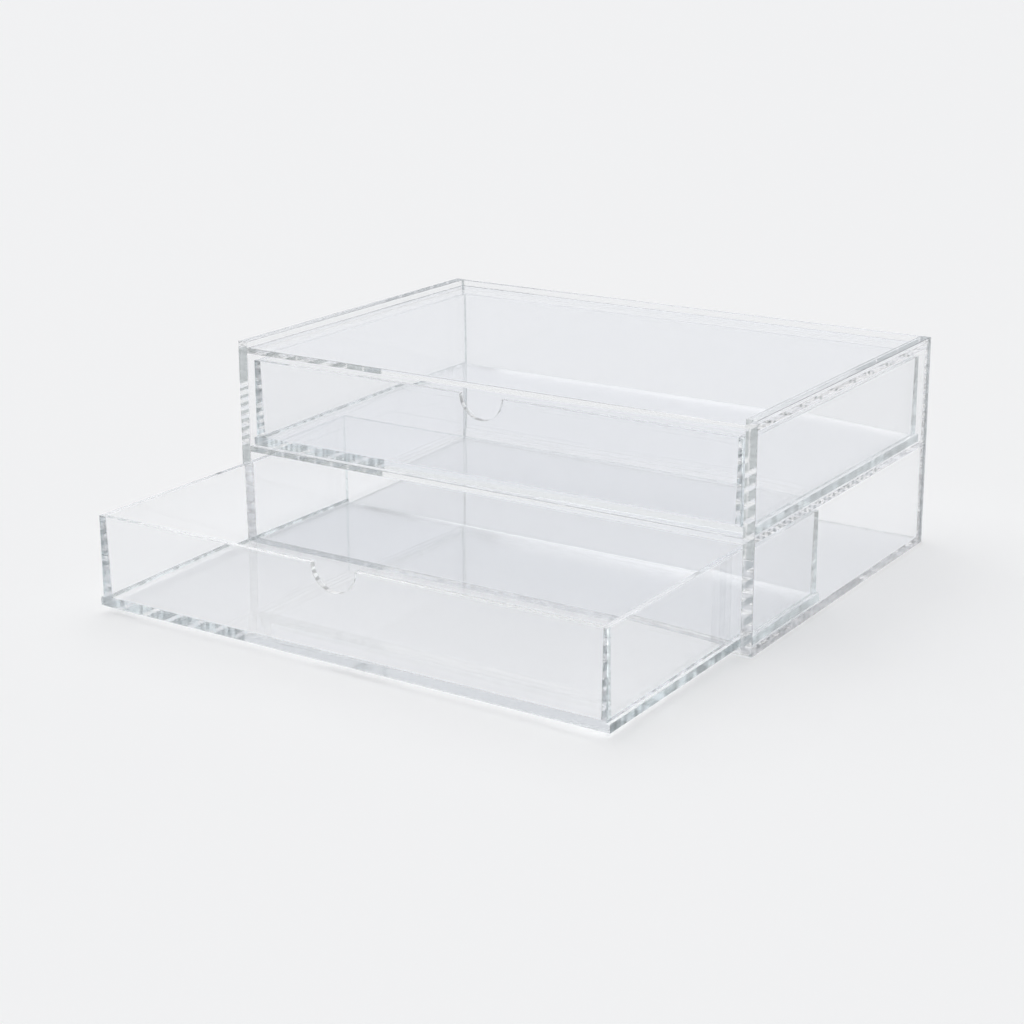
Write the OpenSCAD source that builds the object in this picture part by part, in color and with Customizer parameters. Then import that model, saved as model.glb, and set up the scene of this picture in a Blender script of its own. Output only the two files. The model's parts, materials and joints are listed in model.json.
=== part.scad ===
// Desk organizer: a clear acrylic case with two full-width pull-out drawers.
// Each sheet of the case and of the drawers is one sub-part, cut and bonded edge to face.
// Millimetres. +X is right, +Y is back and +Z is up. The origin is the centre of the case's
// footprint, on the surface the case stands on. The upper drawer is drawn closed and the
// lower one pulled out by lower_pull.

/* [Case] */
// outer width of the case
case_w = 255; // [200:5:320]
// outer depth of the case
case_d = 170; // [150:5:240]
// outer height of the case, from its foot to the top of the rim
case_h = 95; // [80:1:140]
// thickness of the two side panels
side_t = 5; // [4:0.5:8]
// thickness of the top, shelf, bottom and back sheets
sheet_t = 2.5; // [2:0.25:4]
// height of the rim that stands above the top panel
rim_h = 2.5; // [1.5:0.5:5]

/* [Drawers] */
// thickness of a drawer's base plate
base_t = 3.5; // [2.5:0.25:5]
// distance the base plate runs out past each side wall, as a slide flange
flange_w = 1.5; // [1:0.25:3]
// thickness of a drawer wall at its top edge
wall_top_t = 2.3; // [2:0.1:3]
// thickness of a drawer wall where it meets the base plate
wall_foot_t = 3.3; // [3:0.1:4.5]
// radius of the half-round finger notch in each drawer front
notch_r = 10.5; // [8:0.5:14]

/* [Fit] */
// free width beside a drawer's base plate, on each side
side_gap = 0.7; // [0.4:0.1:1.5]
// free height under a drawer's base plate
under_gap = 0.3; // [0.2:0.1:0.5]
// free height between the top of a drawer's walls and the sheet above it
over_gap = 3.2; // [1:0.2:8]
// distance a closed drawer's front stands behind the front edges of the case
front_setback = 2; // [1:0.5:4]
// free depth between a closed drawer and the back panel
back_gap = 1.5; // [1:0.5:4]
// distance the lower drawer is pulled out
lower_pull = 100; // [0:5:140]

/* [Hidden] */
acrylic = [0.88, 0.92, 0.93, 0.35];
bay_w = case_w - 2 * side_t;
bay_d = case_d - sheet_t;
bay_h = (case_h - rim_h - 3 * sheet_t) / 2;
front_y = -case_d / 2;
shelf_z = sheet_t + bay_h;
top_z = shelf_z + sheet_t + bay_h;
drawer_h = bay_h - under_gap - over_gap;
base_w = bay_w - 2 * side_gap;
base_d = bay_d - front_setback - back_gap;
wall_w = base_w - 2 * flange_w;
lower_z = sheet_t + under_gap;
upper_z = shelf_z + sheet_t + under_gap;
closed_y = front_y + front_setback;
notch_fn = 96;
overcut = 1;

// ---- case ----

// One full-height side panel. Its outer face is at x = 0 and it runs towards +X.
module side_panel() {
    translate([0, front_y, 0])
        cube([side_t, case_d, case_h]);
}

// One sheet that spans the bay between the side panels, with its underside at z.
module bay_sheet(z) {
    translate([-bay_w / 2, front_y, z])
        cube([bay_w, bay_d, sheet_t]);
}

module left_side_panel() {
    color(acrylic)
        translate([-case_w / 2, 0, 0])
            side_panel();
}

module right_side_panel() {
    color(acrylic)
        translate([case_w / 2 - side_t, 0, 0])
            side_panel();
}

module back_panel() {
    color(acrylic)
        translate([-bay_w / 2, front_y + bay_d, 0])
            cube([bay_w, sheet_t, case_h]);
}

module top_panel() {
    color(acrylic)
        bay_sheet(top_z);
}

module middle_shelf() {
    color(acrylic)
        bay_sheet(shelf_z);
}

module bottom_panel() {
    color(acrylic)
        bay_sheet(0);
}

// ---- drawer, drawn with its front at y = 0 and its underside at z = 0 ----

// Cross-section of a wall, standing on the base plate. Its outer face is at x = 0, and its
// inner face leans back, so the wall is thickest at the base plate.
module wall_section() {
    polygon([
        [0, base_t],
        [wall_foot_t, base_t],
        [wall_top_t, drawer_h],
        [0, drawer_h]
    ]);
}

// A wall across the full width of the drawer, with its outer face at y = 0.
module cross_wall() {
    translate([-wall_w / 2, 0, 0])
        rotate([90, 0, 90])
            linear_extrude(height = wall_w)
                wall_section();
}

module drawer_base() {
    translate([-base_w / 2, 0, 0])
        cube([base_w, base_d, base_t]);
}

module drawer_front() {
    difference() {
        cross_wall();
        translate([0, -overcut, drawer_h])
            rotate([-90, 0, 0])
                cylinder(h = wall_foot_t + 2 * overcut, r = notch_r, $fn = notch_fn);
    }
}

module drawer_back() {
    translate([0, base_d, 0])
        mirror([0, 1, 0])
            cross_wall();
}

// The left wall fits between the leaning inner faces of the front and back walls.
module drawer_left_wall() {
    difference() {
        translate([-wall_w / 2, base_d, 0])
            rotate([90, 0, 0])
                linear_extrude(height = base_d)
                    wall_section();
        cross_wall();
        drawer_back();
    }
}

module drawer_right_wall() {
    mirror([1, 0, 0])
        drawer_left_wall();
}

module at_upper() {
    color(acrylic)
        translate([0, closed_y, upper_z])
            children();
}

module at_lower() {
    color(acrylic)
        translate([0, closed_y - lower_pull, lower_z])
            children();
}

// ---- upper drawer, closed ----

module upper_drawer_base() {
    at_upper()
        drawer_base();
}

module upper_drawer_front() {
    at_upper()
        drawer_front();
}

module upper_drawer_back() {
    at_upper()
        drawer_back();
}

module upper_drawer_left_wall() {
    at_upper()
        drawer_left_wall();
}

module upper_drawer_right_wall() {
    at_upper()
        drawer_right_wall();
}

// ---- lower drawer, pulled out ----

module lower_drawer_base() {
    at_lower()
        drawer_base();
}

module lower_drawer_front() {
    at_lower()
        drawer_front();
}

module lower_drawer_back() {
    at_lower()
        drawer_back();
}

module lower_drawer_left_wall() {
    at_lower()
        drawer_left_wall();
}

module lower_drawer_right_wall() {
    at_lower()
        drawer_right_wall();
}

left_side_panel();
right_side_panel();
back_panel();
top_panel();
middle_shelf();
bottom_panel();
upper_drawer_base();
upper_drawer_front();
upper_drawer_back();
upper_drawer_left_wall();
upper_drawer_right_wall();
lower_drawer_base();
lower_drawer_front();
lower_drawer_back();
lower_drawer_left_wall();
lower_drawer_right_wall();
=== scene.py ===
"""Looks for the clear acrylic desk organizer: one detailed piece for each sheet of the CAD model.

Each sheet is a closed mesh. Where two sheets are bonded, the contact patch is marked out on both,
and light crosses it unbent, as it does in a solvent-bonded joint.
"""

import json
import math

import bmesh
import bpy
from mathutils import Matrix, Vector
from mathutils.bvhtree import BVHTree


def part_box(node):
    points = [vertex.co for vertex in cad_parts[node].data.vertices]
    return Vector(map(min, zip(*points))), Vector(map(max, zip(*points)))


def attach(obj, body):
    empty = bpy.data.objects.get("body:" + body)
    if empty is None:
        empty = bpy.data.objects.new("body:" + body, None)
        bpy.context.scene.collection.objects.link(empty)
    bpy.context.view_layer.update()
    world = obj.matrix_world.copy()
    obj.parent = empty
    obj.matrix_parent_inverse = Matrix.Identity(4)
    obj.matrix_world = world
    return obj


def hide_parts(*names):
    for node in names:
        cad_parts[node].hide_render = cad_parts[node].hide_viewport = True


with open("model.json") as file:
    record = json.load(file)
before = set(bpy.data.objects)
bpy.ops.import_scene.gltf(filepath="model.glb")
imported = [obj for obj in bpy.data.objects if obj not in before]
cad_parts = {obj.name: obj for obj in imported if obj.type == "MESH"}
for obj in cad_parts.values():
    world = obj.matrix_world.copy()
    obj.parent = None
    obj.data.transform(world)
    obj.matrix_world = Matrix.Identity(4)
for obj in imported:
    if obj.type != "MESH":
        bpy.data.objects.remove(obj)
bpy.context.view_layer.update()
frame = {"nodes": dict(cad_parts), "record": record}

MM = 0.001
AXES = "XYZ"

# Acrylic. A tint is the share of red, green and blue light left after going in and out through
# the surface.
ACRYLIC_IOR = 1.49
FACE_TINT = (0.973, 0.976, 0.981)
EDGE_TINT = (0.92, 0.935, 0.94)
FACE_ROUGHNESS = 0.0
EDGE_ROUGHNESS = 0.05
# Waviness of the polished surfaces: number of waves to the metre, and their height
FACE_WAVES = 60
EDGE_WAVES = 120
WAVE_HEIGHT = 0.001 * MM

# Saw marks for sheets thin along X, Y and Z: number to the metre, height, and the share of light
# left after meeting the darkest and the palest of them. The marks run straight across the sheet,
# and the tone colours them all. The marks' bumps are real, but their dark shares are painted shade:
# they stand in for the dark mottling that light bounced about inside a sawn edge shows.
SAW_MARKS_AND_PAINTED_SHADE = (
    (1500, 0.006 * MM, 0.56, 0.70),
    (900, 0.006 * MM, 0.95, 1.0),
    (300, 0.03 * MM, 0.60, 0.97),
)
SAW_TONE = (0.95, 0.995, 1.0)
SAW_SQUEEZE = 0.15
SAW_DETAIL = 4
SAW_DARK_LEVEL = 0.42
SAW_PALE_LEVEL = 0.58

# Cement streaks in a glued end: number to the metre, the noise levels at which they are darkest
# and palest, and the share of light they let through there
SEAM_SCALE = 1500
SEAM_STRETCH = (0.2, 0.2, 1)
SEAM_LEVELS = (0.42, 0.55)
SEAM_SHARES = (0.70, 1.0)

# Chatter marks that the cutter left across a finger notch, in the same terms. Their bumps are real,
# and their dark shares are painted shade, greying the arc for the dark outline that light gives a
# curved edge.
# Only part of the surface is clear, and the rest is frosted.
NOTCH_SCALE = 600
NOTCH_STRETCH = (1, 0.15, 1)
NOTCH_LEVELS = (0.46, 0.54)
NOTCH_SHARES = (0.45, 1.0)
NOTCH_CLEAR_PART = 0.5
NOTCH_ROUGHNESS = 0.3
NOTCH_HEIGHT = 0.03 * MM

STREAK_DETAIL = 2

# Finishes, in the order of a sheet's material slots
FACE, EDGE, CUT, NOTCH, BOND, SEAM = range(6)

# Sheet detail
EDGE_BREAK = 0.12 * MM
EDGE_STEPS = 2
SHARP_ANGLE = math.radians(20)
FLAT_ANGLE = math.radians(0.5)
CONTACT_GAP = 0.002 * MM
LEAST_FLAT_AREA = 40 * MM * MM
# Facets of a finger notch: greatest distance from the middle, and greatest area
NOTCH_REACH = 12 * MM
NOTCH_FACET = 8 * MM * MM
# Size of a unit normal's part on an axis: more than ALONG for a face that looks along the axis,
# and less than ACROSS for one that looks across it
ALONG = 0.9
ACROSS = 0.1
# Two faces look at each other when the dot product of their normals is less than this
OPPOSITE = -0.999

# The camera stands in front, to the right and above, as in the photograph.
CAMERA_PLACE = Vector((0.4621, -0.7637, 0.2964))
CAMERA_TURN = math.radians(33.2)
CAMERA_DOWN = math.radians(14.67)
CAMERA_ROLL = math.radians(0.225)
CAMERA_LENS = 72.7
CAMERA_SENSOR = 36
CAMERA_SHIFT_Y = -0.10
CAMERA_REACH = 100

# The floor lies a hair below the part, so that the two never share a plane.
FLOOR_DROP = 0.2 * MM
FLOOR_REACH = 12
FLOOR_COLOUR = (0.95, 0.95, 0.95, 1)
FLOOR_ROUGHNESS = 0.9

# Studio light. The walls' colour holds up to the first height and the ceiling's from the second.
# A height is the sine of the angle above the horizon.
KEY_ANGLE = math.radians(80)
KEY_STRENGTH = 1.74
KEY_DIRECTION = Vector((-0.28, 0.14, 0.94))
WALL_COLOUR = (0.84, 0.855, 0.89, 1)
CEILING_COLOUR = (0.24, 0.24, 0.24, 1)
WALL_TOP = 0.3
CEILING_START = 0.7
GLASS_BOUNCES = 256
DIFFUSE_BOUNCES = 8


# ---- materials ----


def new_material(name):
    material = bpy.data.materials.new(name)
    material.use_nodes = True
    nodes = material.node_tree.nodes
    nodes.clear()
    output = nodes.new("ShaderNodeOutputMaterial")
    return material, nodes, material.node_tree.links, output


def acrylic_shader(nodes, roughness):
    """Clear acrylic. Its base colour tints light that goes through it and none that it reflects."""
    shader = nodes.new("ShaderNodeBsdfPrincipled")
    shader.inputs["Transmission Weight"].default_value = 1
    shader.inputs["Roughness"].default_value = roughness
    shader.inputs["IOR"].default_value = ACRYLIC_IOR
    return shader


def stretched_noise(nodes, links, stretch, scale, detail):
    """Noise in the piece's own coordinates, in metres, stretched by axis."""
    place = nodes.new("ShaderNodeTexCoord")
    mapping = nodes.new("ShaderNodeMapping")
    mapping.inputs["Scale"].default_value = stretch
    noise = nodes.new("ShaderNodeTexNoise")
    noise.inputs["Scale"].default_value = scale
    noise.inputs["Detail"].default_value = detail
    links.new(place.outputs["Object"], mapping.inputs["Vector"])
    links.new(mapping.outputs["Vector"], noise.inputs["Vector"])
    return noise


def add_bump(nodes, links, shader, noise, height):
    bump = nodes.new("ShaderNodeBump")
    bump.inputs["Distance"].default_value = height
    links.new(noise.outputs["Fac"], bump.inputs["Height"])
    links.new(bump.outputs["Normal"], shader.inputs["Normal"])


def streaks(nodes, links, noise, levels, shares):
    """Noise between two levels, spread out to run from the first share to the second."""
    spread = nodes.new("ShaderNodeMapRange")
    spread.inputs["From Min"].default_value, spread.inputs["From Max"].default_value = levels
    spread.inputs["To Min"].default_value, spread.inputs["To Max"].default_value = shares
    links.new(noise.outputs["Fac"], spread.inputs["Value"])
    return spread.outputs["Result"]


def polished_material(name, tint, roughness, waves):
    """Polished acrylic, with a slight waviness."""
    material, nodes, links, output = new_material(name)
    shader = acrylic_shader(nodes, roughness)
    shader.inputs["Base Color"].default_value = (*tint, 1)
    noise = stretched_noise(nodes, links, (1, 1, 1), waves, 1)
    add_bump(nodes, links, shader, noise, WAVE_HEIGHT)
    links.new(shader.outputs["BSDF"], output.inputs["Surface"])
    return material


def cut_material(axis):
    """Sawn edge of a sheet that is thin along axis, with saw marks darkened by painted shade. It
    tints reflections inside the sheet too.
    """
    material, nodes, links, output = new_material("acrylic_cut_" + AXES[axis].lower())
    stretch = [1, 1, 1]
    stretch[axis] = SAW_SQUEEZE
    scale, height, dark_share, pale_share = SAW_MARKS_AND_PAINTED_SHADE[axis]
    noise = stretched_noise(nodes, links, stretch, scale, SAW_DETAIL)
    # Painted shade: the ramp's dark end darkens the saw marks to stand in for the edge's dark
    # mottling.
    shades = nodes.new("ShaderNodeValToRGB")
    dark, pale = shades.color_ramp.elements
    dark.position = SAW_DARK_LEVEL
    dark.color = (*(dark_share * tone for tone in SAW_TONE), 1)
    pale.position = SAW_PALE_LEVEL
    pale.color = (*(pale_share * tone for tone in SAW_TONE), 1)
    shader = nodes.new("ShaderNodeBsdfGlass")
    shader.inputs["Roughness"].default_value = EDGE_ROUGHNESS
    shader.inputs["IOR"].default_value = ACRYLIC_IOR
    links.new(noise.outputs["Fac"], shades.inputs["Fac"])
    links.new(shades.outputs["Color"], shader.inputs["Color"])
    add_bump(nodes, links, shader, noise, height)
    links.new(shader.outputs["BSDF"], output.inputs["Surface"])
    return material


def notch_material():
    """Machined finger notch: frosted by the cutter, with dark and pale chatter marks; the dark ones
    are painted shade.
    """
    material, nodes, links, output = new_material("acrylic_notch")
    shader = acrylic_shader(nodes, NOTCH_ROUGHNESS)
    shader.inputs["Transmission Weight"].default_value = NOTCH_CLEAR_PART
    noise = stretched_noise(nodes, links, NOTCH_STRETCH, NOTCH_SCALE, STREAK_DETAIL)
    # Painted shade: the chatter's dark patches grey the notch's arc.
    chatter_and_painted_shade = streaks(nodes, links, noise, NOTCH_LEVELS, NOTCH_SHARES)
    links.new(chatter_and_painted_shade, shader.inputs["Base Color"])
    add_bump(nodes, links, shader, noise, NOTCH_HEIGHT)
    links.new(shader.outputs["BSDF"], output.inputs["Surface"])
    return material


def bond_material():
    """Contact patch of a bonded joint, which light crosses unbent."""
    material, nodes, links, output = new_material("acrylic_bond")
    shader = nodes.new("ShaderNodeBsdfTransparent")
    links.new(shader.outputs["BSDF"], output.inputs["Surface"])
    return material


def seam_material():
    """Upright glued end of a sheet, where the cement has left fine level streaks."""
    material, nodes, links, output = new_material("acrylic_seam")
    noise = stretched_noise(nodes, links, SEAM_STRETCH, SEAM_SCALE, STREAK_DETAIL)
    shader = nodes.new("ShaderNodeBsdfTransparent")
    share = streaks(nodes, links, noise, SEAM_LEVELS, SEAM_SHARES)
    links.new(share, shader.inputs["Color"])
    links.new(shader.outputs["BSDF"], output.inputs["Surface"])
    return material


def floor_material():
    material, nodes, links, output = new_material("studio_floor")
    shader = nodes.new("ShaderNodeBsdfPrincipled")
    shader.inputs["Base Color"].default_value = FLOOR_COLOUR
    shader.inputs["Roughness"].default_value = FLOOR_ROUGHNESS
    links.new(shader.outputs["BSDF"], output.inputs["Surface"])
    return material


# ---- sheets ----


def clean_copy(node):
    """The CAD node's shape with flat faces whole instead of in triangles."""
    mesh = bmesh.new()
    mesh.from_mesh(frame["nodes"][node].data)
    bmesh.ops.remove_doubles(mesh, verts=mesh.verts, dist=CONTACT_GAP)
    bmesh.ops.dissolve_limit(
        mesh, angle_limit=FLAT_ANGLE, verts=mesh.verts, edges=mesh.edges
    )
    mesh.normal_update()
    return mesh


def thin_axis(node):
    lo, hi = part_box(node)
    size = hi - lo
    return min(range(3), key=lambda axis: size[axis])


def touches(point, normal, other):
    """True if the surface point lies on the other sheet, face to face."""
    _, other_normal, _, distance = other.find_nearest(point)
    return distance < CONTACT_GAP and other_normal.dot(normal) < OPPOSITE


def flat_planes(mesh):
    """A point and a normal for each of the sheet's larger flat faces."""
    return [
        (face.verts[0].co.copy(), face.normal.copy())
        for face in mesh.faces
        if face.calc_area() > LEAST_FLAT_AREA
    ]


def contact_faces(mesh, other_planes):
    """Faces that lie in the plane of one of the other sheet's faces and look at it."""
    found = []
    for face in mesh.faces:
        for point, normal in other_planes:
            level = abs((face.verts[0].co - point).dot(normal))
            if level < CONTACT_GAP and face.normal.dot(normal) < OPPOSITE:
                found.append(face)
                break
    return found


def mark_out(mesh, other_planes):
    """Cuts the faces in contact with another sheet along that sheet's outline."""
    for point, normal in other_planes:
        faces = contact_faces(mesh, other_planes)
        edges = {edge for face in faces for edge in face.edges}
        verts = {vert for face in faces for vert in face.verts}
        bmesh.ops.bisect_plane(
            mesh,
            geom=[*verts, *edges, *faces],
            dist=CONTACT_GAP,
            plane_co=point,
            plane_no=normal,
        )


def is_bonded(face, others):
    point = face.calc_center_median()
    return any(touches(point, face.normal, other) for other in others)


def finish_of(face, axis, others):
    """The finish a face has on a sheet that is thin along axis."""
    if is_bonded(face, others):
        upright = abs(face.normal.z) < ACROSS
        glued_end = upright and abs(face.normal[axis]) < ACROSS
        return SEAM if glued_end else BOND
    if abs(face.normal[axis]) > ALONG:
        return FACE
    if axis == 1 and abs(face.calc_center_median().x) < NOTCH_REACH:
        return NOTCH if face.calc_area() < NOTCH_FACET else EDGE
    sawn_back = axis == 0 and face.normal.y > ALONG
    return CUT if sawn_back or abs(face.normal.x) > ALONG else EDGE


def free_edges(mesh):
    """The sharp edges that touch no bonded patch."""
    return [
        edge
        for edge in mesh.edges
        if edge.calc_face_angle(0) > SHARP_ANGLE
        and all(face.material_index not in (BOND, SEAM) for face in edge.link_faces)
    ]


def build_sheet(node, neighbours, shapes, trees, materials):
    """The finished piece for one CAD node, which touches the neighbours in its own body."""
    mesh = shapes[node].copy()
    for other in neighbours:
        mark_out(mesh, flat_planes(shapes[other]))
    axis = thin_axis(node)
    others = [trees[other] for other in neighbours]
    for face in mesh.faces:
        face.material_index = finish_of(face, axis, others)
    bmesh.ops.bevel(
        mesh,
        geom=free_edges(mesh),
        offset=EDGE_BREAK,
        segments=EDGE_STEPS,
        profile=0.5,
        affect="EDGES",
        material=FACE,
    )
    mesh.normal_update()
    data = bpy.data.meshes.new(node + "_acrylic")
    mesh.to_mesh(data)
    mesh.free()
    for material in (
        materials["face"],
        materials["edge"],
        materials["cut"][axis],
        materials["notch"],
        materials["bond"],
        materials["seam"],
    ):
        data.materials.append(material)
    piece = bpy.data.objects.new(node + "_acrylic", data)
    bpy.context.scene.collection.objects.link(piece)
    return piece


def build_sheets(materials):
    for body, nodes in frame["record"]["behaviour"]["bodies"].items():
        shapes = {node: clean_copy(node) for node in nodes}
        trees = {node: BVHTree.FromBMesh(shape) for node, shape in shapes.items()}
        for node in nodes:
            neighbours = [other for other in nodes if other != node]
            piece = build_sheet(node, neighbours, shapes, trees, materials)
            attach(piece, body)
            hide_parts(node)


# ---- stage ----


def build_floor():
    mesh = bmesh.new()
    bmesh.ops.create_grid(mesh, x_segments=1, y_segments=1, size=FLOOR_REACH)
    data = bpy.data.meshes.new("studio_floor")
    mesh.to_mesh(data)
    mesh.free()
    data.materials.append(floor_material())
    floor = bpy.data.objects.new("studio_floor", data)
    floor.location.z = -FLOOR_DROP
    bpy.context.scene.collection.objects.link(floor)


def build_camera():
    data = bpy.data.cameras.new("camera")
    data.lens = CAMERA_LENS
    data.sensor_width = CAMERA_SENSOR
    data.shift_y = CAMERA_SHIFT_Y
    data.clip_end = CAMERA_REACH
    camera = bpy.data.objects.new("camera", data)
    camera.location = CAMERA_PLACE
    camera.rotation_euler = (math.pi / 2 - CAMERA_DOWN, CAMERA_ROLL, CAMERA_TURN)
    bpy.context.scene.collection.objects.link(camera)
    bpy.context.scene.camera = camera


def build_key_light():
    """A very large overhead softbox, a little to the left of the object and behind it."""
    data = bpy.data.lights.new("softbox", "SUN")
    data.angle = KEY_ANGLE
    data.energy = KEY_STRENGTH
    light = bpy.data.objects.new("softbox", data)
    light.rotation_euler = KEY_DIRECTION.to_track_quat("Z", "Y").to_euler()
    bpy.context.scene.collection.objects.link(light)


def build_world():
    """Pale walls all round, under a much darker ceiling."""
    world = bpy.data.worlds.new("studio")
    world.use_nodes = True
    nodes = world.node_tree.nodes
    links = world.node_tree.links
    place = nodes.new("ShaderNodeTexCoord")
    split = nodes.new("ShaderNodeSeparateXYZ")
    ramp = nodes.new("ShaderNodeValToRGB")
    low, high = ramp.color_ramp.elements
    low.position = WALL_TOP
    low.color = WALL_COLOUR
    high.position = CEILING_START
    high.color = CEILING_COLOUR
    links.new(place.outputs["Generated"], split.inputs["Vector"])
    links.new(split.outputs["Z"], ramp.inputs["Fac"])
    links.new(ramp.outputs["Color"], nodes["Background"].inputs["Color"])
    bpy.context.scene.world = world


def set_light_paths():
    """Enough bounces for light to run the length of a sheet, with sharp reflections kept sharp."""
    cycles = bpy.context.scene.cycles
    cycles.max_bounces = GLASS_BOUNCES
    cycles.transmission_bounces = GLASS_BOUNCES
    cycles.glossy_bounces = GLASS_BOUNCES
    cycles.transparent_max_bounces = GLASS_BOUNCES
    cycles.diffuse_bounces = DIFFUSE_BOUNCES
    cycles.blur_glossy = 0


materials = {
    "face": polished_material("acrylic_face", FACE_TINT, FACE_ROUGHNESS, FACE_WAVES),
    "edge": polished_material("acrylic_edge", EDGE_TINT, EDGE_ROUGHNESS, EDGE_WAVES),
    "cut": [cut_material(axis) for axis in range(3)],
    "notch": notch_material(),
    "bond": bond_material(),
    "seam": seam_material(),
}
build_sheets(materials)
build_floor()
build_camera()
build_key_light()
build_world()
set_light_paths()
bpy.context.scene.view_settings.view_transform = "Standard"
